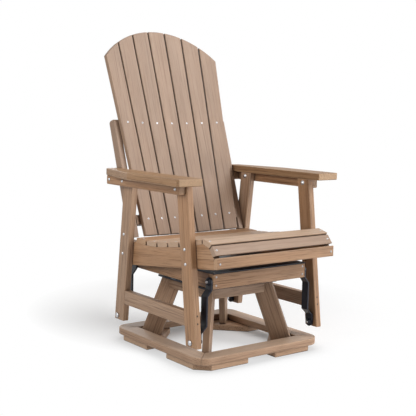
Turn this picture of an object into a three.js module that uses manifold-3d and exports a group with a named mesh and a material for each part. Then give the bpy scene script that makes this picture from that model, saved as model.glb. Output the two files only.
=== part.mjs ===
// Outdoor swivel glider chair built from recycled-plastic boards on a steel swivel and link mechanism.
// Millimetres. X = 0 is the mirror plane and +X is the sitter's left, the front faces -Y, the floor is z = 0.
import * as THREE from "three";
import { mergeVertices } from "three/addons/utils/BufferGeometryUtils.js";
import Module from "manifold-3d";

const wasm = await Module();
wasm.setup();

// Boards and clearances shared by the whole chair
const board = 25;
const slat = 17;
const edgeEase = 2;
const seam = 0.3;
const overrun = 2;
const boltFacets = 16;
const raceFacets = 48;
const curveFacets = 6;

// Ground frame: four corner feet under a mitred ring
const footThickness = 22;
const ringHalf = 275;
const ringWidth = 65.6;
const ringCornerRadius = 50;
const footInset = 9;
const footGapHalf = 62.5;
const footClip = 45;

// Four splayed base legs in the diagonal planes, tied by a small box under the swivel
const baseLegWidth = 77.6;
const baseLegCornerGap = 10.7;
const baseLegLean = 19.98;
const baseTop = 247;
const topBoxOutset = 5.4;
const topBoxHeight = 40;

// Swivel: square lower plate with a round race, and the turning plate that nests in it
const swivelPlate = 5;
const swivelHalf = 160;
const swivelCorner = 12;
const raceInner = 150;
const raceWidth = 23;
const raceHeight = 10;
const raceBore = 50;
const hubPlay = 1.5;
const flangeLap = 14;
const flangeHeight = 4.7;
const upperPlateHalf = 150;

// Carriage: rails round a cross board, with a steel deck on top
const carriageHalfX = 209;
const carriageHalfY = 249;
const railHeight = 52;
const crossBoardWidth = 140;
const deckThickness = 3;

// Links, their pivots and the bolts through them; each link is offset outwards twice on its way down
const pivotInset = 17;
const pivotRise = 25;
const linkLength = 199;
const linkThickness = 6;
const linkWidth = 31;
const linkTopStandoff = 4;
const linkMidOffset = 18;
const linkBottomStandoff = 6.6;
const upperBendStart = 26;
const upperBendEnd = 48;
const lowerBendStart = 51;
const lowerBendEnd = 28;
const pinRadius = 6;
const pinPlay = 0.4;
const collarRadius = 11;
const washerRadius = 12;
const washerThickness = 2;
const headRadius = 9;
const headHeight = 6;

// Gliding chair: its heights are measured from the lower ends of its legs
const sideClearance = 27.6;
const legEndBelowPivot = 15.7;
const legWidth = 58.8;
const frontToeLead = 31.6;
const frontLegLean = 7.22;
const rearToeLead = 36.8;
const rearLegLean = -6.41;
const stretcherRise = 65.7;
const stretcherHeight = 51;

// Seat: side boards carry a curved run of slats that rolls over the front edge
const seatBackY = 144.3;
const seatBackRise = 317.7;
const seatSlatWidth = 59.8;
const seatSlatGap = 7.5;
const seatSlatTilts = [-2.2, 3.2, 8, 8.2, 11.6, 11.9];
const crestWidth = 48;
const crestTilt = -14;
const crestGap = 9.1;
const crestGapTilt = 19;
const noseWidth = 38.5;
const noseTilt = -50;
const noseGap = 5.6;
const noseGapTilt = -75;
const apronWidth = 39;
const apronTilt = -90;
const apronGap = 9.4;
const apronGapTilt = -44;
const slatCornerRadius = 3.5;
const seatSideRearY = 228;
const seatSideRearRise = 303.7;
const seatSideFrontRise = 275;
const seatSideFall = 6.93;

// Back: seven tapered slats under one arc, set on a shallow curve, on two rails between two uprights
const backLean = 18.82;
const backFootY = 166.9;
const backFootRise = 315.7;
const backLength = 814.5;
const backArcRadius = 345.3;
const backSlatCount = 7;
const backPitchBottom = 62.6;
const backPitchTop = 77.2;
const backSlatGap = 5.4;
const backSlatTurn = 2.58;
const uprightDepth = 36.6;
const uprightEndGap = 11;
const uprightTopRise = 744;
const uprightRadius = 11;
const backRailHeight = 36.6;
const lowerRailRise = 376.8;
const upperRailDrop = 17.6;

// Arms on their support rails
const armRise = 538.7;
const armWidth = 99.4;
const armRearWidth = 49.4;
const armFrontY = -249.5;
const armFrontClip = 8;
const armInnerPlay = 1;
const armTaperStartY = 55;
const armTaperEndY = 278;
const armRearY = 285;
const supportHeight = 33;
const supportFrontY = -190;
const supportRearY = 274;
const spacerLength = 34;

// Levels and faces that follow from the sizes above
const ringBottom = footThickness;
const ringTop = ringBottom + board;
const raceOuter = raceInner + raceWidth;
const raceTop = baseTop + swivelPlate + raceHeight;
const flangeBottom = raceTop + seam;
const upperPlateBottom = flangeBottom + flangeHeight;
const railBottom = upperPlateBottom + swivelPlate;
const railTop = railBottom + railHeight;
const pivotY = carriageHalfY - pivotInset;
const pivotTopZ = railBottom + pivotRise;
const pivotBottomZ = pivotTopZ - linkLength;
const sideInner = carriageHalfX + sideClearance;
const legInner = sideInner + board;
const legOuter = legInner + board;
const linkTopX = carriageHalfX + linkTopStandoff;
const linkMidX = linkTopX + linkMidOffset;
const linkBottomX = legInner - linkBottomStandoff;
const radians = THREE.MathUtils.degToRad;

// Finishes
const lumber = { color: 0xa98a6d, roughness: 0.6, metalness: 0 };
const blackSteel = { color: 0x17191d, roughness: 0.42, metalness: 0.6 };

const axisX = new THREE.Vector3(1, 0, 0);
const axisY = new THREE.Vector3(0, 1, 0);
const axisZ = new THREE.Vector3(0, 0, 1);
const alongX = new THREE.Matrix4().makeBasis(axisY, axisZ, axisX);
const alongY = new THREE.Matrix4().makeBasis(axisX, axisZ, axisY.clone().negate());
const diagonals = [
  ["front_left", 1, -1],
  ["rear_left", 1, 1],
  ["rear_right", -1, 1],
  ["front_right", -1, -1],
];
const sides = [
  ["left", 1],
  ["right", -1],
];

const chair = new THREE.Group();
const glider = new THREE.Group();
glider.position.z = pivotBottomZ - legEndBelowPivot;
chair.add(glider);

function place(name, geometry, finish, parent = chair) {
  const mesh = new THREE.Mesh(geometry, new THREE.MeshStandardMaterial(finish));
  mesh.name = name;
  parent.add(mesh);
  return mesh;
}

// A board cut to an outline, from z = low to z = high, with its long edges eased.
function slab(outline, low, high, ease = edgeEase) {
  const shape = Array.isArray(outline)
    ? new THREE.Shape(outline.map(([u, v]) => new THREE.Vector2(u, v)))
    : outline;
  const geometry = new THREE.ExtrudeGeometry(shape, {
    depth: high - low - 2 * ease,
    bevelEnabled: ease > 0,
    bevelThickness: ease,
    bevelSize: ease,
    bevelOffset: -ease,
    bevelSegments: 1,
    curveSegments: curveFacets,
  });
  return geometry.translate(0, 0, low + ease);
}

// The same board with its outline in the YZ plane, from x = low to x = high.
function sideSlab(outline, low, high, ease) {
  return slab(outline, low, high, ease).applyMatrix4(alongX);
}

// The same board with its outline in the XZ plane, from y = low to y = high.
function frontSlab(outline, low, high, ease) {
  return slab(outline, -high, -low, ease).applyMatrix4(alongY);
}

// A closed outline whose corners are rounded, each curve starting one radius from its corner.
function rounded(points, radius) {
  const corners = points.map(([u, v]) => new THREE.Vector2(u, v));
  const toward = (from, to) => from.clone().add(to.clone().sub(from).setLength(radius));
  const shape = new THREE.Shape();
  corners.forEach((corner, index) => {
    const entry = toward(corner, corners.at(index - 1));
    const exit = toward(corner, corners[(index + 1) % corners.length]);
    if (index) shape.lineTo(entry.x, entry.y);
    else shape.moveTo(entry.x, entry.y);
    shape.quadraticCurveTo(corner.x, corner.y, exit.x, exit.y);
  });
  shape.closePath();
  return shape;
}

function rectangle(left, right, bottom, top) {
  return [
    [left, bottom],
    [right, bottom],
    [right, top],
    [left, top],
  ];
}

// The range between two distances from the mirror plane, on one side of it.
function span(side, inner, outer) {
  return side > 0 ? [inner, outer] : [-outer, -inner];
}

function solidOf(geometry) {
  const bare = new THREE.BufferGeometry();
  bare.setAttribute("position", geometry.getAttribute("position"));
  if (geometry.index) bare.setIndex(geometry.index);
  const merged = mergeVertices(bare);
  const mesh = new wasm.Mesh({
    numProp: 3,
    vertProperties: merged.attributes.position.array,
    triVerts: new Uint32Array(merged.index.array),
  });
  return new wasm.Manifold(mesh);
}

function geometryOf(solid) {
  const mesh = solid.getMesh();
  const geometry = new THREE.BufferGeometry();
  geometry.setAttribute("position", new THREE.BufferAttribute(mesh.vertProperties, 3));
  geometry.setIndex(new THREE.BufferAttribute(mesh.triVerts, 1));
  const flat = geometry.toNonIndexed();
  flat.computeVertexNormals();
  return flat;
}

function fused(...geometries) {
  return geometryOf(geometries.map(solidOf).reduce((whole, piece) => whole.add(piece)));
}

// A turned piece about the Z axis, from [radius, height] points.
function turned(points, segments) {
  return new THREE.LatheGeometry(
    points.map(([radius, height]) => new THREE.Vector2(radius, height)),
    segments,
  ).rotateX(Math.PI / 2);
}

// A pivot bolt along X: its shank starts inside the board and carries a collar, washer and domed head.
// It runs from the board face at x = face through a link centred at x = linkX.
function pivotBolt(face, linkX, y, z) {
  const outward = Math.sign(linkX - face);
  const linkNear = Math.abs(linkX - face) - linkThickness / 2;
  const linkFar = linkNear + linkThickness;
  const washerFace = linkFar + seam;
  const headBase = washerFace + washerThickness;
  const dome = headHeight / 2;
  const profile = [
    [0, -overrun],
    [pinRadius, -overrun],
    [pinRadius, 0],
    [collarRadius, 0],
    [collarRadius, linkNear - seam],
    [pinRadius, linkNear - seam],
    [pinRadius, washerFace],
    [washerRadius, washerFace],
    [washerRadius, headBase],
    [headRadius, headBase],
    [headRadius, headBase + dome],
    [headRadius - dome, headBase + headHeight],
    [0, headBase + headHeight],
  ];
  return turned(profile, boltFacets)
    .rotateY((outward * Math.PI) / 2)
    .translate(face, y, z);
}

// A bolt head and washer on the outer face of a leg.
function faceBolt(face, outward, y, z) {
  const dome = headHeight / 2;
  const profile = [
    [0, -overrun],
    [headRadius, -overrun],
    [headRadius, dome],
    [headRadius - dome, headHeight],
    [0, headHeight],
  ];
  return turned(profile, boltFacets)
    .rotateY((outward * Math.PI) / 2)
    .translate(face, y, z);
}

// Corner feet
for (const [corner, sx, sy] of diagonals) {
  const outer = ringHalf - footInset;
  const inner = ringHalf - ringWidth;
  const foot = new THREE.Shape();
  foot.moveTo(sx * footGapHalf, sy * outer);
  foot.lineTo(sx * footGapHalf, sy * inner);
  foot.lineTo(sx * inner, sy * footGapHalf);
  foot.lineTo(sx * outer, sy * footGapHalf);
  foot.lineTo(sx * outer, sy * (outer - footClip));
  foot.lineTo(sx * (outer - footClip), sy * outer);
  place("foot_" + corner, slab(foot, 0, ringBottom), lumber);
}

// Ring boards, mitred on the diagonals through the middle of each rounded corner
["front", "left", "rear", "right"].forEach((name, quarter) => {
  const inner = ringHalf - ringWidth;
  const arcCentre = ringHalf - ringCornerRadius;
  const half = [[inner - seam, -inner]];
  for (let step = 0; step <= curveFacets; step++) {
    const angle = (Math.PI / 4) * (1 + step / curveFacets);
    const across = arcCentre + ringCornerRadius * Math.cos(angle);
    half.push([step ? across : across - seam, -(arcCentre + ringCornerRadius * Math.sin(angle))]);
  }
  const mirrored = half.map(([x, y]) => [-x, y]).reverse();
  const geometry = slab([...half, ...mirrored], ringBottom, ringTop);
  place("ring_" + name, geometry.rotateZ((quarter * Math.PI) / 2), lumber);
});

// Base legs stand on the feet inside the ring, and the top box boards fit between them
const baseLegToe = (ringHalf - ringWidth) * Math.SQRT2 - baseLegCornerGap;
const baseLegHead = baseLegToe - (baseTop - ringBottom) * Math.tan(radians(baseLegLean));
diagonals.forEach(([corner], quarter) => {
  const outline = [
    [baseLegToe - baseLegWidth, ringBottom],
    [baseLegToe, ringBottom],
    [baseLegHead, baseTop],
    [baseLegHead - baseLegWidth, baseTop],
  ];
  const geometry = frontSlab(outline, -board / 2, board / 2);
  const turn = -Math.PI / 4 + (quarter * Math.PI) / 2;
  place("base_leg_" + corner, geometry.rotateZ(turn), lumber);
});

const topBoxHalf = (baseLegHead - baseLegWidth / 2) / Math.SQRT2 + board / 2 + topBoxOutset;
["front", "left", "rear", "right"].forEach((name, quarter) => {
  const legFace = (board / 2 + seam) * Math.SQRT2;
  const inner = topBoxHalf - board;
  const outline = [
    [-(topBoxHalf - legFace), -topBoxHalf],
    [topBoxHalf - legFace, -topBoxHalf],
    [inner - legFace, -inner],
    [-(inner - legFace), -inner],
  ];
  const geometry = slab(outline, baseTop - topBoxHeight, baseTop);
  place("top_box_" + name, geometry.rotateZ((quarter * Math.PI) / 2), lumber);
});

// Lower swivel plate: a square plate with rounded corners, open in the middle, and the raised race
function roundedSquare(half, radius) {
  const shape = new THREE.Shape();
  shape.moveTo(half - radius, -half);
  shape.absarc(half - radius, -(half - radius), radius, -Math.PI / 2, 0, false);
  shape.absarc(half - radius, half - radius, radius, 0, Math.PI / 2, false);
  shape.absarc(-(half - radius), half - radius, radius, Math.PI / 2, Math.PI, false);
  shape.absarc(-(half - radius), -(half - radius), radius, Math.PI, (3 * Math.PI) / 2, false);
  return shape;
}

function plateWithBore(half, bottom) {
  const shape = roundedSquare(half, swivelCorner);
  shape.holes.push(new THREE.Path().absarc(0, 0, raceBore, 0, 2 * Math.PI, true));
  return new THREE.ExtrudeGeometry(shape, {
    depth: swivelPlate,
    bevelEnabled: false,
    curveSegments: raceFacets / 2,
  }).translate(0, 0, bottom);
}

const raceProfile = [
  [raceInner, baseTop + swivelPlate - overrun],
  [raceOuter, baseTop + swivelPlate],
  [raceOuter, raceTop - edgeEase],
  [raceOuter - edgeEase, raceTop],
  [raceInner, raceTop],
  [raceInner, baseTop + swivelPlate - overrun],
];
const lowerPlate = fused(plateWithBore(swivelHalf, baseTop), turned(raceProfile, raceFacets));
place("swivel_lower_plate", lowerPlate, blackSteel);

// Upper swivel plate: its hub turns inside the race and its flange rides over it
const hubOuter = raceInner - hubPlay;
const hubBottom = baseTop + swivelPlate + seam;
const hubProfile = [
  [raceBore, hubBottom],
  [hubOuter, hubBottom],
  [hubOuter, flangeBottom],
  [raceInner + flangeLap, flangeBottom],
  [raceInner + flangeLap, upperPlateBottom],
  [raceBore, upperPlateBottom],
  [raceBore, hubBottom],
];
place(
  "swivel_upper_plate",
  fused(plateWithBore(upperPlateHalf, upperPlateBottom), turned(hubProfile, raceFacets)),
  blackSteel,
);

// Carriage: the front and rear rails cover the ends of the side rails and carry the upper pivots
const railInnerX = carriageHalfX - board;
const railInnerY = carriageHalfY - board;
for (const [name, side] of sides) {
  const outline = rectangle(-railInnerY, railInnerY, railBottom, railTop);
  const rail = sideSlab(outline, ...span(side, railInnerX, carriageHalfX));
  place("carriage_rail_" + name, rail, lumber);
}
for (const [name, toward] of [
  ["front", -1],
  ["rear", 1],
]) {
  const outline = rectangle(-carriageHalfX, carriageHalfX, railBottom, railTop);
  const rail = frontSlab(outline, ...span(toward, railInnerY, carriageHalfY));
  const bolts = sides.map(([, side]) =>
    pivotBolt(side * carriageHalfX, side * linkTopX, toward * pivotY, pivotTopZ),
  );
  place("carriage_rail_" + name, fused(rail, ...bolts), lumber);
}
const crossOutline = rectangle(-crossBoardWidth / 2, crossBoardWidth / 2, railBottom, railBottom + board);
place("carriage_cross_board", sideSlab(crossOutline, -railInnerX, railInnerX), lumber);
const deckOutline = rectangle(-carriageHalfX, carriageHalfX, -carriageHalfY, carriageHalfY);
place("carriage_deck", slab(deckOutline, railTop, railTop + deckThickness, 0), blackSteel);

// Links: a strip with two offsets bent along its length, rounded and bored at both ends
function linkGeometry(side, end) {
  const path = [
    [linkBottomX, pivotBottomZ - linkWidth],
    [linkBottomX, pivotBottomZ + lowerBendEnd],
    [linkMidX, pivotBottomZ + lowerBendStart],
    [linkMidX, pivotTopZ - upperBendEnd],
    [linkTopX, pivotTopZ - upperBendStart],
    [linkTopX, pivotTopZ + linkWidth],
  ];
  const half = linkThickness / 2;
  const strip = [
    ...path.map(([x, z]) => [side * (x + half), z]),
    ...path.map(([x, z]) => [side * (x - half), z]).reverse(),
  ];
  const radius = linkWidth / 2;
  const y = end * pivotY;
  const face = new THREE.Shape();
  face.moveTo(y - radius, pivotBottomZ);
  face.absarc(y, pivotBottomZ, radius, Math.PI, 2 * Math.PI, false);
  face.absarc(y, pivotTopZ, radius, 0, Math.PI, false);
  for (const z of [pivotBottomZ, pivotTopZ])
    face.holes.push(new THREE.Path().absarc(y, z, pinRadius + pinPlay, 0, 2 * Math.PI, true));
  const bent = solidOf(frontSlab(strip, y - linkWidth, y + linkWidth, 0));
  const inner = linkTopX - linkThickness;
  const outer = linkBottomX + linkThickness;
  const blank = solidOf(sideSlab(face, ...span(side, inner, outer), 0));
  return geometryOf(bent.intersect(blank));
}
for (const [name, side] of sides) {
  place("link_front_" + name, linkGeometry(side, -1), blackSteel);
  place("link_rear_" + name, linkGeometry(side, 1), blackSteel);
}

// Chair legs carry the lower pivots and have a stretcher between them on each side
const legs = {
  front: { toe: -pivotY - frontToeLead, slope: Math.tan(radians(frontLegLean)), pivot: -pivotY },
  rear: { toe: pivotY - rearToeLead, slope: Math.tan(radians(rearLegLean)), pivot: pivotY },
};
for (const [row, { toe, slope, pivot }] of Object.entries(legs))
  for (const [name, side] of sides) {
    const outline = [
      [toe, 0],
      [toe + legWidth, 0],
      [toe + legWidth + armRise * slope, armRise],
      [toe + armRise * slope, armRise],
    ];
    const body = sideSlab(outline, ...span(side, legInner, legOuter));
    const bolt = pivotBolt(side * legInner, side * linkBottomX, pivot, legEndBelowPivot);
    const head = faceBolt(side * legOuter, side, pivot, legEndBelowPivot);
    const finish = row === "front" ? lumber : lumber;
    place("leg_" + row + "_" + name, fused(body, bolt, head), finish, glider);
  }

const heelOfFrontLeg = (z) => legs.front.toe + legWidth + z * legs.front.slope + seam;
const toeOfRearLeg = (z) => legs.rear.toe + z * legs.rear.slope - seam;
const stretcherTop = stretcherRise + stretcherHeight;
const stretcherOutline = [
  [heelOfFrontLeg(stretcherRise), stretcherRise],
  [toeOfRearLeg(stretcherRise), stretcherRise],
  [toeOfRearLeg(stretcherTop), stretcherTop],
  [heelOfFrontLeg(stretcherTop), stretcherTop],
];
for (const [name, side] of sides) {
  const geometry = sideSlab(stretcherOutline, ...span(side, legInner, legOuter));
  place("stretcher_" + name, geometry, lumber, glider);
}

// Seat boards follow each other forward, each tilted by its own angle, with a gap before the next.
// The crest, nose and apron boards have their meeting edges mitred, so that the seat rolls over.
const crestCut = (seatSlatTilts.at(-1) - crestTilt) / 2;
const noseCut = (crestTilt - noseTilt) / 2;
const apronCut = (noseTilt - apronTilt) / 2;
const seatRun = [
  ...seatSlatTilts.map((tilt, index) => {
    const gapTilt = (tilt + (seatSlatTilts[index + 1] ?? tilt)) / 2;
    return { width: seatSlatWidth, tilt, gap: seatSlatGap, gapTilt };
  }),
  { width: crestWidth, tilt: crestTilt, gap: noseGap, gapTilt: noseGapTilt, heelCut: crestCut, toeCut: noseCut },
  { width: noseWidth, tilt: noseTilt, gap: apronGap, gapTilt: apronGapTilt, heelCut: noseCut, toeCut: apronCut },
  { width: apronWidth, tilt: apronTilt, gap: 0, gapTilt: apronTilt, heelCut: apronCut },
];
Object.assign(seatRun[seatSlatTilts.length - 1], { gap: crestGap, gapTilt: crestGapTilt });

const stepForward = ([y, z], distance, tilt) => [
  y - distance * Math.cos(radians(tilt)),
  z + distance * Math.sin(radians(tilt)),
];

function seatBoard(width, tilt, heelCut = 0, toeCut = 0) {
  const outline = [
    [0, 0],
    [-width, 0],
    [-width + slat * Math.tan(radians(toeCut)), -slat],
    [-slat * Math.tan(radians(heelCut)), -slat],
  ];
  return sideSlab(rounded(outline, slatCornerRadius), -legInner, legInner, 0).rotateX(radians(-tilt));
}

let heel = [seatBackY, seatBackRise];
let apronFrontY = seatBackY;
const undersides = [];
seatRun.forEach(({ width, tilt, gap, gapTilt, heelCut, toeCut }, index) => {
  const isApron = index === seatRun.length - 1;
  const name = isApron ? "seat_apron" : "seat_slat_" + (index + 1);
  place(name, seatBoard(width, tilt, heelCut, toeCut).translate(0, ...heel), lumber, glider);
  if (isApron) [apronFrontY] = heel;
  const under = stepForward(heel, slat + seam, tilt - 90);
  undersides.push([under, stepForward(under, width, tilt)]);
  heel = stepForward(stepForward(heel, width, tilt), gap, gapTilt);
});

// The points that join the undersides of two neighbouring slats: their ends, or the point where they cross.
function join([rear, front], [nextRear, nextFront]) {
  if (nextRear[0] < front[0]) return [front, nextRear];
  const slope = (front[1] - rear[1]) / (front[0] - rear[0]);
  const nextSlope = (nextFront[1] - nextRear[1]) / (nextFront[0] - nextRear[0]);
  const drop = nextRear[1] - rear[1] - slope * (nextRear[0] - rear[0]);
  const y = nextRear[0] + drop / (slope - nextSlope);
  return [[y, rear[1] + slope * (y - rear[0])]];
}

// Seat side boards: a straight lower edge, and an upper edge that follows the slats
const apronBackY = apronFrontY + slat + seam;
const [apronUnder] = undersides.pop();
const seatFall = Math.tan(radians(seatSideFall));
const sideBottom = (y) => seatSideFrontRise - (y - apronFrontY) * seatFall;
const sideOutline = [
  [apronBackY, sideBottom(apronBackY)],
  [seatSideRearY, sideBottom(seatSideRearY)],
  [seatSideRearY, seatSideRearRise],
  undersides[0][0],
  ...undersides.slice(1).flatMap((under, index) => join(undersides[index], under)),
  undersides.at(-1)[1],
  [apronBackY, apronUnder[1] - slat],
];
for (const [name, side] of sides) {
  const geometry = sideSlab(sideOutline, ...span(side, sideInner, legInner), 0);
  place("seat_side_" + name, geometry, lumber, glider);
}

// Back: everything is laid out in the leaning plane, across the slats, behind them and along them
const back = new THREE.Group();
back.position.set(0, backFootY, backFootRise);
back.rotation.x = -radians(backLean);
glider.add(back);

const topArcCentre = backLength - backArcRadius;
const pitchGrowth = (backPitchTop - backPitchBottom) / backLength;
const slatTurn = radians(backSlatTurn);
const outerSlat = (backSlatCount - 1) / 2;

// The lines where the faces of neighbouring slats meet, as [across, behind] for a pitch of 1.
const meetings = [[1 / 2, 0]];
for (let turns = 1; turns <= outerSlat; turns++) {
  const [across, behind] = meetings.at(-1);
  meetings.push([across + Math.cos(turns * slatTurn), behind - Math.sin(turns * slatTurn)]);
}

function meeting(place) {
  const [across, behind] = meetings[Math.abs(place) - 1 / 2];
  return new THREE.Vector3(Math.sign(place) * across, behind, 0);
}

// Where the straight edge x = start + growth * height meets the top arc.
function meetArc(start, growth) {
  const a = 1 + growth * growth;
  const b = start * growth - topArcCentre;
  const c = start * start + topArcCentre * topArcCentre - backArcRadius * backArcRadius;
  const height = (-b + Math.sqrt(b * b - a * c)) / a;
  return [start + growth * height, height];
}

// Each slat is drawn in its own face: the faces all pass through one point far below the seat.
for (let index = 0; index < backSlatCount; index++) {
  const turns = index - outerSlat;
  const near = meeting(turns - 1 / 2);
  const far = meeting(turns + 1 / 2);
  const foot = near.clone().add(far).multiplyScalar(backPitchBottom / 2);
  const across = far.clone().sub(near).normalize();
  const along = foot.clone().multiplyScalar(pitchGrowth / backPitchBottom).add(axisZ);
  along.addScaledVector(across, -along.dot(across)).normalize();
  const onFace = (x, height) => {
    const rise = height / along.z;
    return [(x - foot.x - rise * along.x) / across.x, rise];
  };
  const edge = (line, inset) => {
    const start = line.x * backPitchBottom + inset * across.x;
    return [start, ...meetArc(start, line.x * pitchGrowth)];
  };
  const [nearStart, nearX, nearTop] = edge(near, backSlatGap / 2);
  const [farStart, farX, farTop] = edge(far, -backSlatGap / 2);
  const outline = [onFace(nearStart, 0), onFace(farStart, 0)];
  const from = Math.atan2(farTop - topArcCentre, farX);
  const to = Math.atan2(nearTop - topArcCentre, nearX);
  for (let step = 0; step <= curveFacets; step++) {
    const angle = from + ((to - from) * step) / curveFacets;
    const height = topArcCentre + backArcRadius * Math.sin(angle);
    outline.push(onFace(backArcRadius * Math.cos(angle), height));
  }
  const face = new THREE.Matrix4().makeBasis(across, along.clone().cross(across), along);
  const geometry = frontSlab(outline, 0, slat).applyMatrix4(face.setPosition(foot));
  place("back_slat_" + (index + 1), geometry, lumber, back);
}

// Back rails run between the uprights; their front edges follow the rear faces of the slats
const leanCos = Math.cos(radians(backLean));
const slatRear = slat + seam;
for (const [name, level] of [
  ["lower", lowerRailRise],
  ["upper", uprightTopRise - upperRailDrop],
]) {
  const middle = (level - backFootRise) / leanCos;
  const top = middle + backRailHeight / 2;
  const pitch = backPitchBottom + top * pitchGrowth;
  const reach = slatRear / Math.cos(slatTurn / 2);
  const front = meetings.slice(0, -1).map(([across, behind], index) => {
    const turn = (index + 1 / 2) * slatTurn;
    return [across * pitch + reach * Math.sin(turn), behind * pitch + reach * Math.cos(turn)];
  });
  const [lastX, lastY] = front.at(-1);
  front.push([sideInner, lastY - (sideInner - lastX) * Math.tan(outerSlat * slatTurn)]);
  front.push([sideInner, uprightDepth]);
  const mirrored = front.map(([x, y]) => [-x, y]).reverse();
  const geometry = slab([...mirrored, ...front], middle - backRailHeight / 2, top);
  place("back_rail_" + name, geometry, lumber, back);
}

// Uprights: their lower ends are cut level and their tops are rounded over
const uprightLow = (seatSideRearRise + uprightEndGap - backFootRise) / leanCos;
const uprightHigh = (uprightTopRise - backFootRise) / leanCos;
const levelCut = Math.tan(radians(backLean));
for (const [name, side] of sides) {
  const outline = new THREE.Shape();
  const roundTop = uprightHigh - uprightRadius;
  outline.moveTo(0, uprightLow);
  outline.lineTo(uprightDepth, uprightLow + uprightDepth * levelCut);
  outline.absarc(uprightDepth - uprightRadius, roundTop, uprightRadius, 0, Math.PI / 2, false);
  outline.absarc(uprightRadius, roundTop, uprightRadius, Math.PI / 2, Math.PI, false);
  outline.lineTo(0, uprightLow);
  place("upright_" + name, sideSlab(outline, ...span(side, sideInner, legInner)), lumber, back);
}

// Arms: flat boards that narrow towards the back, on a rail outside the legs
for (const [name, side] of sides) {
  const inner = legInner + armInnerPlay;
  const outer = inner + armWidth;
  const outline = [
    [inner, armFrontY],
    [outer - armFrontClip, armFrontY],
    [outer, armFrontY + armFrontClip],
    [outer, armTaperStartY],
    [inner + armRearWidth, armTaperEndY],
    [inner, armRearY],
  ].map(([x, y]) => [side * x, y]);
  place("arm_" + name, slab(outline, armRise, armRise + board), lumber, glider);
  const supportOuter = legOuter + board;
  const support = [
    [legOuter, supportFrontY],
    [supportOuter, supportFrontY],
    [supportOuter, supportRearY],
    [legInner, supportRearY],
    [legInner, supportRearY - spacerLength],
    [legOuter, supportRearY - spacerLength],
  ].map(([x, y]) => [side * x, y]);
  place("arm_support_" + name, slab(support, armRise - supportHeight, armRise), lumber, glider);
}

// The whole chair stands centred on the origin
const bounds = new THREE.Box3().setFromObject(chair, true);
chair.position.y = -(bounds.min.y + bounds.max.y) / 2;
console.log(
  "size " + bounds.getSize(new THREE.Vector3()).toArray().map((v) => v.toFixed(2)).join(" x ") + " mm",
  "shift " + chair.position.y.toFixed(4),
);

export default chair;
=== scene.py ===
import math

import bmesh
import bpy
from mathutils import Matrix, Vector


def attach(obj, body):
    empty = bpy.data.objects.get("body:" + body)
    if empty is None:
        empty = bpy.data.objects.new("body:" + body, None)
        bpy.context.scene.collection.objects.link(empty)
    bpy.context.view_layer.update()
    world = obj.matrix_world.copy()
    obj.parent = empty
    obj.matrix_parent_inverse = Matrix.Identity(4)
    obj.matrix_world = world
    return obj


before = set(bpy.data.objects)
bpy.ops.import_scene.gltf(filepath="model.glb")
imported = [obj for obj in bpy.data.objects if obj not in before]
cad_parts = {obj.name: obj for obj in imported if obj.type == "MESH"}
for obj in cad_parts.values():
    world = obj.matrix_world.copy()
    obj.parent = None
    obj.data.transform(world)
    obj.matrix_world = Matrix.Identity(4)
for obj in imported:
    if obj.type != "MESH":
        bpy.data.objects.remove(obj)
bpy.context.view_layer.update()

MM = 0.001
# Where the swivel axis stands along Y in the part's own frame, in millimetres; the front is towards minus Y
SHIFT_Y = -54.5902
SIDES = (("left", 1), ("right", -1))
ENDS = (("front", -1), ("rear", 1))
CORNERS = [(f"{end}_{side}", sx, sy) for end, sy in ENDS for side, sx in SIDES]
WHITE = (1, 1, 1, 1)


def at(x, y, z):
    """A point given in millimetres from the swivel axis, in the part's own frame."""
    return Vector((x, y + SHIFT_Y, z)) * MM


# Camera: lengths in the picture in pixels, the sensor in millimetres, angles in degrees, distance in metres
IMAGE = 416
FOCAL_PX = 864.6
CENTRE_PX = (207.64, 209.90)
SENSOR = 36
AZIMUTH, ELEVATION, ROLL = -37.196, 6.761, 1.155
DISTANCE = 3.1773
TARGET = at(-31.6, 24.0, 501.9)


def add_camera():
    azimuth, elevation, roll = (math.radians(angle) for angle in (AZIMUTH, ELEVATION, ROLL))
    level = math.cos(elevation)
    back = Vector((math.sin(azimuth) * level, -math.cos(azimuth) * level, math.sin(elevation)))
    right = Vector((math.cos(azimuth), math.sin(azimuth), 0))
    up = back.cross(right)
    rolled_right = right * math.cos(roll) + up * math.sin(roll)
    rolled_up = up * math.cos(roll) - right * math.sin(roll)
    data = bpy.data.cameras.new("camera")
    data.sensor_width = SENSOR
    data.lens = FOCAL_PX * SENSOR / IMAGE
    data.shift_x = 0.5 - CENTRE_PX[0] / IMAGE
    data.shift_y = CENTRE_PX[1] / IMAGE - 0.5
    camera = bpy.data.objects.new("camera", data)
    basis = Matrix((rolled_right, rolled_up, back)).transposed().to_4x4()
    camera.matrix_world = Matrix.Translation(TARGET + back * DISTANCE) @ basis
    bpy.context.scene.collection.objects.link(camera)
    bpy.context.scene.camera = camera


# Small helpers for node trees
def connect(tree, node, inputs):
    """Link each socket into the input of its name, and set each plain value on it."""
    for key, value in inputs.items():
        if isinstance(value, bpy.types.NodeSocket):
            tree.links.new(value, node.inputs[key])
        else:
            node.inputs[key].default_value = value


def add_node(tree, kind, inputs=None, **settings):
    node = tree.nodes.new(kind)
    for key, value in settings.items():
        setattr(node, key, value)
    connect(tree, node, inputs or {})
    return node


def maths(tree, operation, first, second=0.0):
    return add_node(tree, "ShaderNodeMath", {0: first, 1: second}, operation=operation).outputs[0]


def blend_colours(tree, factor, first, second, mode="MIX"):
    node = add_node(tree, "ShaderNodeMix", data_type="RGBA", blend_type=mode)
    colours = [socket for socket in node.inputs if socket.type == "RGBA"]
    for socket, value in ((node.inputs["Factor"], factor), (colours[0], first), (colours[1], second)):
        if isinstance(value, bpy.types.NodeSocket):
            tree.links.new(value, socket)
        else:
            socket.default_value = value
    return next(socket for socket in node.outputs if socket.type == "RGBA")


def noise(tree, vector, scale, detail=3.0, roughness=0.5):
    inputs = {"Vector": vector, "Scale": scale, "Detail": detail, "Roughness": roughness}
    return add_node(tree, "ShaderNodeTexNoise", inputs).outputs["Fac"]


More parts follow.
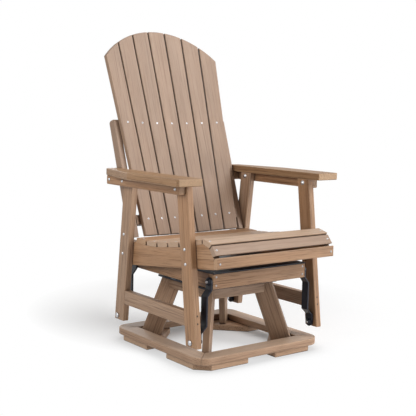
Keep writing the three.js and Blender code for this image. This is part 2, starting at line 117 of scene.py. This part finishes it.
def grain_noise(tree, vector, along, across, detail, roughness):
    """Noise drawn out along X, with its scales along and across the grain."""
    placing = {"Vector": vector, "Scale": (along, across, across)}
    stretched = add_node(tree, "ShaderNodeMapping", placing).outputs["Vector"]
    return noise(tree, stretched, 1.0, detail, roughness)


def spread(tree, value, low, high, new_low=0.0, new_high=1.0):
    inputs = {"Value": value, "From Min": low, "From Max": high, "To Min": new_low, "To Max": new_high}
    return add_node(tree, "ShaderNodeMapRange", inputs).outputs["Result"]


def share(tree, value, start, full, most):
    """Nothing where the value is at its start, and the most where it is full."""
    return maths(tree, "MULTIPLY", spread(tree, value, start, full), most)


def open_sky(tree, distance, samples=8):
    """1 in the open, and less where something within this distance closes it in."""
    inputs = {"Distance": distance}
    return add_node(tree, "ShaderNodeAmbientOcclusion", inputs, samples=samples).outputs["AO"]


def rounded_normal(tree, radius):
    return add_node(tree, "ShaderNodeBevel", {"Radius": radius}, samples=4).outputs["Normal"]


def edge_mask(tree, radius, start, full):
    """1 along the edges, where the rounded normal leaves the true one."""
    rounded = rounded_normal(tree, radius)
    true = add_node(tree, "ShaderNodeNewGeometry").outputs["Normal"]
    dot = add_node(tree, "ShaderNodeVectorMath", {0: rounded, 1: true}, operation="DOT_PRODUCT")
    return spread(tree, dot.outputs["Value"], start, full)


def bumped(tree, inputs):
    return add_node(tree, "ShaderNodeBump", inputs).outputs["Normal"]


def new_material(name):
    material = bpy.data.materials.new(name)
    material.use_nodes = True
    tree = material.node_tree
    return material, tree, tree.nodes["Principled BSDF"]


# Lumber: recycled-plastic boards with streaks and an embossed grain that run along each board.
# The tones of a kind are its middle one, its dark streaks, its pale bands and its paler tone for cut ends
# and the painted highlight along edges; a kind also says how far its upward faces are painted paler as a
# sheen, and how much painted shade darkens it where it is closed in. The kinds of the back, uprights, nose
# and seat are paler and greyer to paint their sheen, and those of the ring and feet brighter to paint the
# light on them.
BOARD_KINDS = {
    "arm": {
        "stems": ("arm_left", "arm_right"),
        "tones": ((0.306, 0.172, 0.084), (0.142, 0.073, 0.030), (0.383, 0.234, 0.127), (0.560, 0.370, 0.220)),
        "shade_share": 0.25,
    },
    # Supports and carriage rails: strong painted shade, for the shade under the arms and the seat
    "support": {
        "stems": ("arm_support", "carriage_rail"),
        "tones": ((0.364, 0.198, 0.100), (0.170, 0.083, 0.037), (0.452, 0.270, 0.154), (0.540, 0.343, 0.205)),
        "shade_share": 0.70,
    },
    # Seat slats: paler, greyer tones and a painted sheen on their tops, for the sheen they catch
    "seat": {
        "stems": tuple(f"seat_slat_{number}" for number in range(2, 8)),
        "tones": ((0.440, 0.287, 0.187), (0.280, 0.172, 0.106), (0.490, 0.333, 0.226), (0.560, 0.390, 0.270)),
        "shade_share": 0.25,
        "top_sheen": 0.20,
    },
    "warm": {
        "stems": ("seat_side", "seat_apron", "leg_front", "seat_slat_1"),
        "tones": ((0.392, 0.220, 0.116), (0.188, 0.094, 0.044), (0.484, 0.296, 0.174), (0.565, 0.366, 0.225)),
        "shade_share": 0.25,
    },
    # Back, nose and uprights: paler, greyer tones that paint the sheen they catch
    "sheened": {
        "stems": ("back_", "seat_slat_8", "upright"),
        "tones": ((0.328, 0.215, 0.146), (0.254, 0.160, 0.104), (0.358, 0.247, 0.176), (0.450, 0.319, 0.230)),
        "shade_share": 0.04,
    },
    "brown": {
        "stems": ("base_leg_", "top_box_", "carriage_cross_board", "stretcher_", "leg_rear"),
        "tones": ((0.390, 0.246, 0.156), (0.190, 0.112, 0.068), (0.475, 0.322, 0.220), (0.550, 0.375, 0.250)),
        "shade_share": 0.50,
    },
    # Ring: brighter tones and a painted sheen on its tops, for the light it catches
    "pale": {
        "stems": ("ring_",),
        "tones": ((0.452, 0.284, 0.180), (0.250, 0.144, 0.086), (0.526, 0.352, 0.236), (0.600, 0.415, 0.275)),
        "shade_share": 0.32,
        "top_sheen": 0.30,
    },
    # Feet: brighter tones that paint light into the shade under the ring
    "foot": {
        "stems": ("foot_",),
        "tones": ((0.505, 0.318, 0.200), (0.285, 0.165, 0.098), (0.575, 0.386, 0.258), (0.650, 0.450, 0.298)),
    },
}
# Colour of the painted shade in crevices and where a board is closed in
SHADE_TONE = (0.035, 0.024, 0.018, 1)
# Colour of the painted sheen on upward faces
SHEEN_TONE = (0.78, 0.62, 0.48, 1)

# Distances in metres: the eased edges, and how near something has to be for painted shade in a crevice or on
# a board
EASE_RADIUS = 0.0028
CREVICE = 0.014
SHADE_REACH = 0.06

# Scales along and across the grain, detail and roughness of each pattern
FIBRES = (16, 480, 3.0, 0.6)
STREAKS = (3.2, 250, 3.0, 0.6)
BANDS = (1.6, 48, 2.0, 0.5)
CLOUDS = (3.5, 14, 2.0, 0.5)
NOISE_SPAN = (0.3, 0.7)

# Where each effect starts, where it is full, and its largest share
PALE_BANDS = (0.52, 0.34, 0.60)
DARK_STREAKS = (0.53, 0.64, 0.85)
DARK_FIBRES = (0.53, 0.66, 0.60)
CUT_ENDS = (0.80, 0.95, 0.50)
# Painted shade in crevices
CREVICE_SHADE = (0.62, 0.22, 0.90)
# Painted sheen on upward faces
UPWARD = (0.70, 0.97)
# Painted highlight along the edges
HIGHLIGHT_EDGES, HIGHLIGHT_SHARE = (0.995, 0.90), 0.70
# Painted shade where a board is closed in by things near it
SHADE_SPAN = (0.80, 0.25)

BOARD_TONES = (0.90, 1.09)
BOARD_ROUGHNESS = (0.46, 0.56)
BOARD_GLOSS = 0.40
FIBRE_HEIGHT, STREAK_HEIGHT = 0.6, 0.4
GRAIN_RELIEF = {"Strength": 0.24, "Distance": 0.0012}
GRAIN_AXIS = Vector((1, 0, 0))
PATTERN_STEP = Vector((0.71, 0.37, 0.53))
GROUP_SOCKETS = (
    ("Vector", "INPUT", "NodeSocketVector"),
    ("Color", "OUTPUT", "NodeSocketColor"),
    ("Roughness", "OUTPUT", "NodeSocketFloat"),
    ("Normal", "OUTPUT", "NodeSocketVector"),
    ("Facing", "INPUT", "NodeSocketVector"),
)


def make_lumber_group(name, tones, shade_share, top_sheen):
    """Colour, roughness and normal of a board, from a place in the pattern and the way its face looks."""
    middle, dark, pale, edge = ((*tone, 1) for tone in tones)
    tree = bpy.data.node_groups.new(name, "ShaderNodeTree")
    for socket, in_out, socket_type in GROUP_SOCKETS:
        tree.interface.new_socket(socket, in_out=in_out, socket_type=socket_type)
    inputs = add_node(tree, "NodeGroupInput").outputs
    fine, streak, band, cloud = (
        grain_noise(tree, inputs["Vector"], *pattern) for pattern in (FIBRES, STREAKS, BANDS, CLOUDS)
    )

    # The tones and streaks of the plastic itself
    colour = blend_colours(tree, share(tree, band, *PALE_BANDS), middle, pale)
    colour = blend_colours(tree, share(tree, streak, *DARK_STREAKS), colour, dark)
    colour = blend_colours(tree, share(tree, fine, *DARK_FIBRES), colour, dark)
    tone = spread(tree, cloud, *NOISE_SPAN, *BOARD_TONES)
    shade = add_node(tree, "ShaderNodeCombineColor", {0: tone, 1: tone, 2: tone}).outputs[0]
    colour = blend_colours(tree, 1.0, colour, shade, "MULTIPLY")

    # Upward faces get a painted sheen, edges a painted highlight, cut ends are paler, and crevices and
    # closed-in places get painted shade
    # Painted sheen: upward faces are made paler
    if top_sheen:
        normal = add_node(tree, "ShaderNodeNewGeometry").outputs["Normal"]
        upward = add_node(tree, "ShaderNodeSeparateXYZ", {0: normal}).outputs["Z"]
        colour = blend_colours(tree, spread(tree, upward, *UPWARD, 0.0, top_sheen), colour, SHEEN_TONE)
    # Painted highlight along the edges
    edge_highlight = maths(tree, "MULTIPLY", edge_mask(tree, EASE_RADIUS, *HIGHLIGHT_EDGES), HIGHLIGHT_SHARE)
    colour = blend_colours(tree, edge_highlight, colour, edge)
    facing = add_node(tree, "ShaderNodeSeparateXYZ", {0: inputs["Facing"]}).outputs["X"]
    cut_end = share(tree, maths(tree, "ABSOLUTE", facing), *CUT_ENDS)
    colour = blend_colours(tree, cut_end, colour, edge)
    colour = blend_colours(tree, share(tree, open_sky(tree, CREVICE), *CREVICE_SHADE), colour, SHADE_TONE)
    # Painted shade where the board is closed in
    if shade_share:
        colour = blend_colours(tree, share(tree, open_sky(tree, SHADE_REACH), *SHADE_SPAN, shade_share), colour, SHADE_TONE)

    rough = spread(tree, fine, *NOISE_SPAN, *BOARD_ROUGHNESS)
    fibre_height = maths(tree, "MULTIPLY", fine, FIBRE_HEIGHT)
    streak_height = maths(tree, "MULTIPLY", streak, STREAK_HEIGHT)
    height = maths(tree, "ADD", fibre_height, streak_height)
    rounded = rounded_normal(tree, EASE_RADIUS)
    normal = bumped(tree, {**GRAIN_RELIEF, "Height": height, "Normal": rounded})
    add_node(tree, "NodeGroupOutput", {"Color": colour, "Roughness": rough, "Normal": normal})
    return tree


LUMBER_GRAIN = {
    kind: make_lumber_group("lumber_" + kind, look["tones"], look.get("shade_share"), look.get("top_sheen"))
    for kind, look in BOARD_KINDS.items()
}


def lumber(name, along, index):
    """The lumber material with its grain along one direction; index picks the place in the pattern."""
    material, tree, shader = new_material("lumber_" + name)
    coordinates = add_node(tree, "ShaderNodeTexCoord").outputs
    turn = Vector(along).normalized().rotation_difference(GRAIN_AXIS).to_euler()
    placing = {"Vector": coordinates["Object"], "Rotation": turn, "Location": PATTERN_STEP * (index + 1)}
    place = add_node(tree, "ShaderNodeMapping", placing).outputs["Vector"]
    aiming = {"Vector": coordinates["Normal"], "Rotation": turn}
    facing = add_node(tree, "ShaderNodeMapping", aiming, vector_type="VECTOR").outputs["Vector"]
    kind = next(kind for kind, look in BOARD_KINDS.items() if name.startswith(look["stems"]))
    grain = add_node(tree, "ShaderNodeGroup", node_tree=LUMBER_GRAIN[kind])
    connect(tree, grain, {"Vector": place, "Facing": facing})
    connect(tree, shader, {
        "Base Color": grain.outputs["Color"],
        "Roughness": grain.outputs["Roughness"],
        "Normal": grain.outputs["Normal"],
        "Specular IOR Level": BOARD_GLOSS,
    })
    return material


# Scales of the patterns on the small parts, and their colours
PEEL_SCALE, STEEL_PATCH_SCALE, BRIGHT_PATCH_SCALE, PLUG_PATCH_SCALE = 900.0, 35.0, 260.0, 420.0
BLACK_TONES = ((0.0040, 0.0055, 0.013, 1), (0.0075, 0.0100, 0.020, 1))
BLACK_WORN = (0.10, 0.10, 0.11, 1)
BRIGHT_TONES = ((0.56, 0.56, 0.57, 1), (0.36, 0.36, 0.37, 1))
# Dark tones that paint the shade of the front legs' edge holes
HOLE_SHADE_TONES = ((0.050, 0.028, 0.016, 1), (0.105, 0.062, 0.036, 1))
STEEL_EDGE_RADIUS, STEEL_EASE_RADIUS = 0.0012, 0.001
STEEL_EDGES, WORN_SPAN, WORN_SHARE = (0.99, 0.85), (0.4, 0.7), 0.5
DULLED_SPAN = (0.35, 0.7)
PEEL_RELIEF = {"Strength": 0.2, "Distance": 0.0002}
TURNED_RELIEF = {"Strength": 0.15, "Distance": 0.0001}
BLACK_ROUGHNESS, BRIGHT_ROUGHNESS, PLUG_ROUGHNESS = (0.30, 0.42), (0.22, 0.40), (0.62, 0.75)
BLACK_GLOSS = 0.34


def make_black_steel():
    """Satin powder coat with a slight orange peel, a little worn along its edges."""
    material, tree, shader = new_material("black_steel")
    place = add_node(tree, "ShaderNodeTexCoord").outputs["Object"]
    peel = noise(tree, place, PEEL_SCALE, 2.0)
    patch = noise(tree, place, STEEL_PATCH_SCALE)
    edges = edge_mask(tree, STEEL_EDGE_RADIUS, *STEEL_EDGES)
    worn = maths(tree, "MULTIPLY", edges, spread(tree, patch, *WORN_SPAN))
    colour = blend_colours(tree, spread(tree, patch, *NOISE_SPAN), *BLACK_TONES)
    colour = blend_colours(tree, maths(tree, "MULTIPLY", worn, WORN_SHARE), colour, BLACK_WORN)
    rounded = rounded_normal(tree, STEEL_EASE_RADIUS)
    connect(tree, shader, {
        "Base Color": colour,
        "Roughness": spread(tree, patch, *NOISE_SPAN, *BLACK_ROUGHNESS),
        "Normal": bumped(tree, {**PEEL_RELIEF, "Height": peel, "Normal": rounded}),
        "Specular IOR Level": BLACK_GLOSS,
    })
    return material


def make_bright_steel():
    """Stainless fastener heads with fine turning marks and dulled patches."""
    material, tree, shader = new_material("bright_steel")
    place = add_node(tree, "ShaderNodeTexCoord").outputs["Object"]
    patch = noise(tree, place, BRIGHT_PATCH_SCALE)
    connect(tree, shader, {
        "Base Color": blend_colours(tree, spread(tree, patch, *DULLED_SPAN), *BRIGHT_TONES),
        "Roughness": spread(tree, patch, *NOISE_SPAN, *BRIGHT_ROUGHNESS),
        "Normal": bumped(tree, {**TURNED_RELIEF, "Height": patch}),
        "Metallic": 1.0,
    })
    return material


def make_hole_shade_plug():
    """Dark brown plug at an edge hole, darkened to paint the shade of the hole; dull and slightly mottled."""
    material, tree, shader = new_material("hole_shade_plug")
    place = add_node(tree, "ShaderNodeTexCoord").outputs["Object"]
    patch = noise(tree, place, PLUG_PATCH_SCALE)
    connect(tree, shader, {
        "Base Color": blend_colours(tree, spread(tree, patch, *NOISE_SPAN), *HOLE_SHADE_TONES),
        "Roughness": spread(tree, patch, *NOISE_SPAN, *PLUG_ROUGHNESS),
    })
    return material


BLACK_STEEL = make_black_steel()
BRIGHT_STEEL = make_bright_steel()
HOLE_SHADE_PLUG = make_hole_shade_plug()


# The back leans about its foot, and its slats stand on a shallow curve, in millimetres
BACK_LEAN = math.radians(18.82)
BACK_FOOT = (0, 166.9, 397.7)
BACK_SLATS, MIDDLE_SLAT = range(1, 8), 4
SLAT_HEIGHT, PITCH_LOW, PITCH_HIGH = 814.5, 62.6, 77.2
PITCH_GROWTH = (PITCH_HIGH - PITCH_LOW) / SLAT_HEIGHT
SLAT_TURN = math.radians(2.58)
BACK_TURN = Matrix.Rotation(-BACK_LEAN, 3, "X")


def slat_across(order):
    """The direction across the slat that is this many places from the middle one."""
    return Vector((math.cos(order * SLAT_TURN), -math.sin(order * SLAT_TURN), 0))


def back_slat_frame(number):
    """Outward and along directions of a back slat, and where its middle is for a pitch of 1."""
    order = number - MIDDLE_SLAT
    joints = [Vector((0.5, 0, 0))]
    for turns in range(1, MIDDLE_SLAT):
        joints.append(joints[-1] + slat_across(turns))
    near = joints[abs(order) - 1] if order else -joints[0]
    middle = (near + joints[abs(order)]) / 2
    if order < 0:
        middle.x = -middle.x
    across = slat_across(order)
    along = middle * PITCH_GROWTH + Vector((0, 0, 1))
    along = (along - across * along.dot(across)).normalized()
    return across.cross(along), along, middle


def back_point(number, height):
    """A point on the middle line of a back slat's face, this far up the slats."""
    _, _, middle = back_slat_frame(number)
    local = middle * (PITCH_LOW + PITCH_GROWTH * height) + Vector((0, 0, height))
    return at(*(BACK_TURN @ local + Vector(BACK_FOOT)))


# Which way the grain runs in each board
BASE_LEAN = math.tan(math.radians(19.98)) / math.sqrt(2)
LEG_LEANS = {"front": math.radians(7.22), "rear": math.radians(-6.41)}
SEAT_SLOPE = math.radians(6.93)
ACROSS, DEPTH = (1, 0, 0), (0, 1, 0)
UP_BACK = BACK_TURN @ Vector((0, 0, 1))
SEAT_SLATS = range(1, 9)


def grain_directions():
    found = {}
    for corner, sx, sy in CORNERS:
        found["foot_" + corner] = ACROSS
        found["base_leg_" + corner] = (-sx * BASE_LEAN, -sy * BASE_LEAN, 1)
    for end, _ in ENDS:
        for side, _ in SIDES:
            found[f"leg_{end}_{side}"] = (0, math.tan(LEG_LEANS[end]), 1)
        for stem in ("ring_", "top_box_", "carriage_rail_"):
            found[stem + end] = ACROSS
    for side, _ in SIDES:
        for stem in ("ring_", "top_box_", "carriage_rail_", "stretcher_", "arm_", "arm_support_"):
            found[stem + side] = DEPTH
        found["seat_side_" + side] = (0, 1, -math.tan(SEAT_SLOPE))
        found["upright_" + side] = UP_BACK
    for name in ("carriage_cross_board", "seat_apron", "back_rail_lower", "back_rail_upper"):
        found[name] = ACROSS
    for number in SEAT_SLATS:
        found[f"seat_slat_{number}"] = ACROSS
    for number in BACK_SLATS:
        _, along, _ = back_slat_frame(number)
        found[f"back_slat_{number}"] = BACK_TURN @ along
    return found


def dress_nodes():
    directions = grain_directions()
    for index, name in enumerate(sorted(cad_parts)):
        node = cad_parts[name]
        node.data.materials.clear()
        if name in directions:
            node.data.materials.append(lumber(name, directions[name], index))
        else:
            node.data.materials.append(BLACK_STEEL)


# Where the fasteners sit, in millimetres from the swivel axis. A nose screw has its y, its z and the way
# it faces, a leg bolt its y and z, an arm bolt its y, its z and the x of its nut, a plug its x, y and z.
BACK_SCREW_ROWS = (("lower", 63), ("upper", 436.5))
RAIL_SCREW_INSET = 18
SEAT_SCREW_X = 249.5
NOSE_SCREWS = ((-316, 419, (0, -0.766, 0.643)), (-336.5, 375.5, (0, -1, 0)))
LEG_FACE_X, SUPPORT_FACE_X = 286.6, 311.6
LEG_BOLTS = ((-190, 406.5), (-196.5, 357.5), (192.5, 408.3), (199, 337))
ARM_BOLTS = ((-165, 606.5, 261.6), (168, 606.5, 261.6), (256.5, 606.5, 236.6))
PLUGS = ((273.5, -249.9, 190.5), (273.5, -253.1, 164.8))
PLUG_FACING = (0, -math.cos(LEG_LEANS["front"]), math.sin(LEG_LEANS["front"]))
RAIL_END_X, RAIL_END_Y, RAIL_END_SCREWS = 196, 249, (313.5, 285)
DECK_SCREW_X, DECK_TOP, DECK_SCREWS = 196.5, 327, (236, 120)
UPPER_PIVOT, LOWER_PIVOT, PIVOT_HEAD = (216.1, 232, 297), (251.9, 232, 98), (286.6, 232, 98)

# Fasteners are turned from a profile of (radius, height) points in millimetres
SEGMENTS = 24
BACK_SCREW_STRETCH = 1.22
PLUG_STRETCH = 0.90
SCREW = ((0, -0.3), (1.1, -0.3), (1.3, 0.8), (2.1, 1.1), (2.9, 0.9), (3.4, 0.3), (3.5, -1.0), (0, -1.0))
DOME = ((0, 4.2), (2.1, 3.9), (3.9, 3.0), (5.2, 1.8), (5.7, 0.6), (5.8, -1.0), (0, -1.0))
PLUG = ((0, 0.1), (2.6, 0.1), (2.8, 0.4), (3.3, 0.5), (3.7, 0.2), (3.8, -1.0), (0, -1.0))
WASHER_CAP = (
    (0, 8.7), (7.6, 8.7), (9.3, 7.4), (9.6, 6.6), (9.8, 2.9), (12.6, 2.5), (13.0, 2.1), (13.1, 0.1), (0, 0.1),
)
PIN_CAP = ((0, 10.9), (1.9, 10.7), (3.8, 10.0), (5.2, 8.9), (5.6, 8.0), (5.6, 7.0), (0, 7.0))
LEG_CAP = (
    (0, 7.6), (2.6, 7.4), (4.8, 6.9), (5.4, 6.5), (5.6, 6.4), (8.2, 5.2), (9.4, 3.6), (9.6, -0.5), (0, -0.5),
)
NUT = (
    (0, 5.0), (3.2, 5.0), (3.4, 4.6), (5.8, 4.4), (6.4, 3.8), (6.4, 0.9), (8.6, 0.8), (8.9, 0.4), (8.9, -0.5),
    (0, -0.5),
)


def turned_mesh(name, profile, stretch=1.0):
    """A closed mesh turned about Z; the first and last points lie on the axis."""
    angles = [2 * math.pi * step / SEGMENTS for step in range(SEGMENTS)]
    circle = [(math.cos(angle), math.sin(angle)) for angle in angles]
    mesh = bmesh.new()
    rings = []
    for radius, height in profile:
        reach = radius * stretch * MM
        places = [(reach * x, reach * y) for x, y in circle] if radius else [(0, 0)]
        rings.append([mesh.verts.new((x, y, height * MM)) for x, y in places])
    for low, high in zip(rings, rings[1:]):
        for step in range(SEGMENTS):
            pair = (step, (step + 1) % SEGMENTS)
            corners = [low[i % len(low)] for i in pair] + [high[i % len(high)] for i in reversed(pair)]
            mesh.faces.new(list(dict.fromkeys(corners)))
    bmesh.ops.recalc_face_normals(mesh, faces=mesh.faces)
    data = bpy.data.meshes.new(name)
    mesh.to_mesh(data)
    mesh.free()
    data.shade_smooth()
    return data


SHAPES = {
    "screw": turned_mesh("screw", SCREW),
    "back_screw": turned_mesh("back_screw", SCREW, BACK_SCREW_STRETCH),
    "dome": turned_mesh("dome", DOME),
    "plug": turned_mesh("plug", PLUG, PLUG_STRETCH),
    "washer_cap": turned_mesh("washer_cap", WASHER_CAP),
    "pin_cap": turned_mesh("pin_cap", PIN_CAP),
    "leg_cap": turned_mesh("leg_cap", LEG_CAP),
    "nut": turned_mesh("nut", NUT),
}


def fastener(name, shape, place, outward, body="chair", material=BRIGHT_STEEL, slot="black_steel"):
    data = SHAPES[shape]
    piece = bpy.data.objects.new(name, data)
    bpy.context.scene.collection.objects.link(piece)
    if not data.materials:
        data.materials.append(material)
    turn = Vector(outward).to_track_quat("Z", "Y").to_matrix().to_4x4()
    piece.matrix_world = Matrix.Translation(place) @ turn
    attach(piece, body)


# How closely the faces of a flat side agree: their direction, and their distance from one plane
LOOKS_THIS_WAY, SAME_DIRECTION, SAME_PLANE = 0.8, 0.999, 0.3 * MM


def widest_face(name, direction):
    """The middle and the normal of a node's largest flat side that looks this way, in world space."""
    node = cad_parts[name]
    place, turn = node.matrix_world, node.matrix_world.to_3x3()
    faces = [((turn @ f.normal).normalized(), place @ f.center, f.area) for f in node.data.polygons]
    faces = [face for face in faces if face[0].dot(Vector(direction)) > LOOKS_THIS_WAY]
    normal, centre, _ = max(faces, key=lambda face: face[2])
    flat = [
        (middle, area) for facing, middle, area in faces
        if facing.dot(normal) > SAME_DIRECTION and abs((middle - centre).dot(normal)) < SAME_PLANE
    ]
    whole = sum(area for _, area in flat)
    return sum((middle * area for middle, area in flat), Vector()) / whole, normal


def on_face(name, direction, x):
    """The middle of that side moved along X to this x, in millimetres, and the side's normal."""
    middle, normal = widest_face(name, direction)
    return Vector((x * MM, middle.y, middle.z)), normal


def add_back_screws():
    """Two rows of screws through the back slats, and the screws of the rails behind them."""
    for row, height in BACK_SCREW_ROWS:
        for number in BACK_SLATS:
            outward, _, _ = back_slat_frame(number)
            place = back_point(number, height)
            fastener(f"back_screw_{row}_{number}", "back_screw", place, BACK_TURN @ outward)
    for name in ("back_rail_lower", "back_rail_upper"):
        reach = max(abs(v.co.x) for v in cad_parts[name].data.vertices) / MM
        for side, sx in SIDES:
            fastener(f"{name}_screw_{side}", "screw", *on_face(name, DEPTH, sx * (reach - RAIL_SCREW_INSET)))


def add_seat_screws():
    """Screws through the ends of the nose, the apron and the seat slats into the seat sides."""
    for number, (y, z, outward) in enumerate(NOSE_SCREWS, 1):
        for side, sx in SIDES:
            fastener(f"seat_screw_{number}_{side}", "screw", at(sx * SEAT_SCREW_X, y, z), outward)
    for number in SEAT_SLATS[:-1]:
        for side, sx in SIDES:
            place, outward = on_face(f"seat_slat_{number}", (0, 0, 1), sx * SEAT_SCREW_X)
            fastener(f"seat_slat_screw_{number}_{side}", "screw", place, outward)


def add_leg_bolts(side, sx):
    """Bolts of the legs, bolts and nuts of the arm support, and the dark plugs of the front leg, which paint
    the shade of its edge holes.
    """
    outward, inward = (sx, 0, 0), (-sx, 0, 0)
    for number, (y, z) in enumerate(LEG_BOLTS, 1):
        fastener(f"leg_bolt_{side}_{number}", "dome", at(sx * LEG_FACE_X, y, z), outward)
    for number, (y, z, nut_x) in enumerate(ARM_BOLTS, 1):
        fastener(f"arm_bolt_{side}_{number}", "dome", at(sx * SUPPORT_FACE_X, y, z), outward)
        fastener(f"arm_nut_{side}_{number}", "nut", at(sx * nut_x, y, z), inward)
    for number, (x, y, z) in enumerate(PLUGS, 1):
        fastener(f"edge_hole_{side}_{number}", "plug", at(sx * x, y, z), PLUG_FACING, material=HOLE_SHADE_PLUG)


def add_carriage_corner(corner, sx, sy):
    """Screws of the end rail and the deck, and the washers, pins and outer head of the two pivots."""
    outward, inward = (sx, 0, 0), (-sx, 0, 0)
    for number, z in enumerate(RAIL_END_SCREWS, 1):
        place = at(sx * RAIL_END_X, sy * RAIL_END_Y, z)
        fastener(f"rail_screw_{corner}_{number}", "screw", place, (0, sy, 0), "carriage")
    for number, y in enumerate(DECK_SCREWS, 1):
        place = at(sx * DECK_SCREW_X, sy * y, DECK_TOP)
        fastener(f"deck_screw_{corner}_{number}", "screw", place, (0, 0, 1), "carriage")
    upper, lower, head = (at(sx * x, sy * y, z) for x, y, z in (UPPER_PIVOT, LOWER_PIVOT, PIVOT_HEAD))
    fastener(f"pivot_washer_upper_{corner}", "washer_cap", upper, outward, "carriage", BLACK_STEEL)
    fastener(f"pivot_pin_upper_{corner}", "pin_cap", upper, outward, "carriage")
    fastener(f"pivot_washer_lower_{corner}", "washer_cap", lower, inward, material=BLACK_STEEL)
    fastener(f"pivot_pin_lower_{corner}", "pin_cap", lower, inward)
    fastener(f"pivot_head_{corner}", "leg_cap", head, outward)


def add_fasteners():
    add_back_screws()
    add_seat_screws()
    for side, sx in SIDES:
        add_leg_bolts(side, sx)
        for end, sy in ENDS:
            add_carriage_corner(f"{end}_{side}", sx, sy)


# Floor: distances in metres, and where the painted shade of its closed-in places starts and ends
FLOOR_HALF = 12.0
FLOOR_SHADE_REACH, FLOOR_SAMPLES = 0.16, 12
FLOOR_GREY, FLOOR_ROUGHNESS = (0.76, 0.76, 0.76, 1), 0.9
FLOOR_UNSEEN = (0.78, 0.78, 0.78, 1)
# How far the floor is lifted, and how far painted shade lowers the lift where it is closed in
FLOOR_LIFT, SHADED_LIFT, LIFT_SPAN = 0.30, 0.45, (0.40, 0.92)
# Painted contact shadow on the plain white
CONTACT_SHADE_SPAN, CONTACT_SHADE_WHITE = (0.50, 0.90), (0.72, 1.0)
FADE_CENTRE, FADE_SPAN = (0.36, 0.42, 0), (0.50, 0.82)
WORLD_LIGHT = 0.14


def seen_plainly(tree):
    """A socket that is 1 for the camera and for reflections, and the light path's other sockets."""
    path = add_node(tree, "ShaderNodeLightPath").outputs
    return maths(tree, "MAXIMUM", path["Is Camera Ray"], path["Is Glossy Ray"]), path


def make_floor_material():
    """Pale and lit near the chair, where it keeps the shadow and painted shade darkens it where it is closed
    in, and plain white further out with a painted contact shadow close to the chair.
    """
    material, tree, shader = new_material("floor")
    sky = open_sky(tree, FLOOR_SHADE_REACH, FLOOR_SAMPLES)
    connect(tree, shader, {
        "Base Color": FLOOR_GREY,
        "Roughness": FLOOR_ROUGHNESS,
        "Specular IOR Level": 0.0,
        "Emission Color": WHITE,
        # Painted shade lowers the lift where the floor is closed in
        "Emission Strength": spread(tree, sky, *LIFT_SPAN, SHADED_LIFT * FLOOR_LIFT, FLOOR_LIFT),
    })
    seen, _ = seen_plainly(tree)
    place = add_node(tree, "ShaderNodeTexCoord").outputs["Object"]
    distance = {0: place, 1: FADE_CENTRE}
    away = add_node(tree, "ShaderNodeVectorMath", distance, operation="DISTANCE").outputs["Value"]
    far = spread(tree, away, *FADE_SPAN)
    # Painted contact shadow darkens the white close to the chair
    glow = {"Color": WHITE, "Strength": spread(tree, sky, *CONTACT_SHADE_SPAN, *CONTACT_SHADE_WHITE)}
    white = add_node(tree, "ShaderNodeEmission", glow).outputs[0]
    lit = add_node(tree, "ShaderNodeMixShader", {0: far, 1: shader.outputs[0], 2: white}).outputs[0]
    dim = add_node(tree, "ShaderNodeBsdfDiffuse", {"Color": FLOOR_UNSEEN}).outputs[0]
    mixed = add_node(tree, "ShaderNodeMixShader", {0: seen, 1: dim, 2: lit}).outputs[0]
    connect(tree, tree.nodes["Material Output"], {"Surface": mixed})
    return material


def add_floor():
    data = bpy.data.meshes.new("floor")
    corners = [(x * FLOOR_HALF, y * FLOOR_HALF, 0) for x, y in ((-1, -1), (1, -1), (1, 1), (-1, 1))]
    data.from_pydata(corners, [], [(0, 1, 2, 3)])
    floor = bpy.data.objects.new("floor", data)
    bpy.context.scene.collection.objects.link(floor)
    data.materials.append(make_floor_material())


def add_world():
    """White where it is seen, and a weak light on the chair."""
    world = bpy.data.worlds.new("world")
    bpy.context.scene.world = world
    world.use_nodes = True
    tree = world.node_tree
    seen, path = seen_plainly(tree)
    seen = maths(tree, "MAXIMUM", seen, path["Is Transmission Ray"])
    strength = spread(tree, seen, 0, 1, WORLD_LIGHT, 1.0)
    connect(tree, tree.nodes["Background"], {"Color": WHITE, "Strength": strength})


# Lamps, in metres and watts: name, place, what it looks at, its two sides and its power
LAMPS = (
    ("key", (3.0, -3.55, 3.45), (0, 0, 0.55), (3.0, 3.0), 205),
    ("side", (-1.5, -0.30, 1.12), (0, 0, 0.42), (0.9, 0.9), 12.5),
    ("low", (2.2, -2.5, 0.42), (0, -0.1, 0.1), (1.4, 0.5), 24),
    ("top", (1.3, -0.7, 3.3), (0, 0, 0.3), (1.2, 1.2), 30),
    ("rear", (0.9, 4.0, 1.3), (0, 0, 0.5), (2.0, 1.4), 34),
)


def add_lamps():
    for name, place, target, size, power in LAMPS:
        data = bpy.data.lights.new(name, "AREA")
        data.shape = "RECTANGLE"
        data.size, data.size_y = size
        data.energy = power
        lamp = bpy.data.objects.new(name, data)
        place, target = Vector(place), Vector(target)
        turn = (place - target).to_track_quat("Z", "Y").to_matrix().to_4x4()
        lamp.matrix_world = Matrix.Translation(place) @ turn
        bpy.context.scene.collection.objects.link(lamp)


add_camera()
dress_nodes()
add_fasteners()
add_floor()
add_world()
add_lamps()

scene = bpy.context.scene
scene.view_settings.view_transform = "Standard"
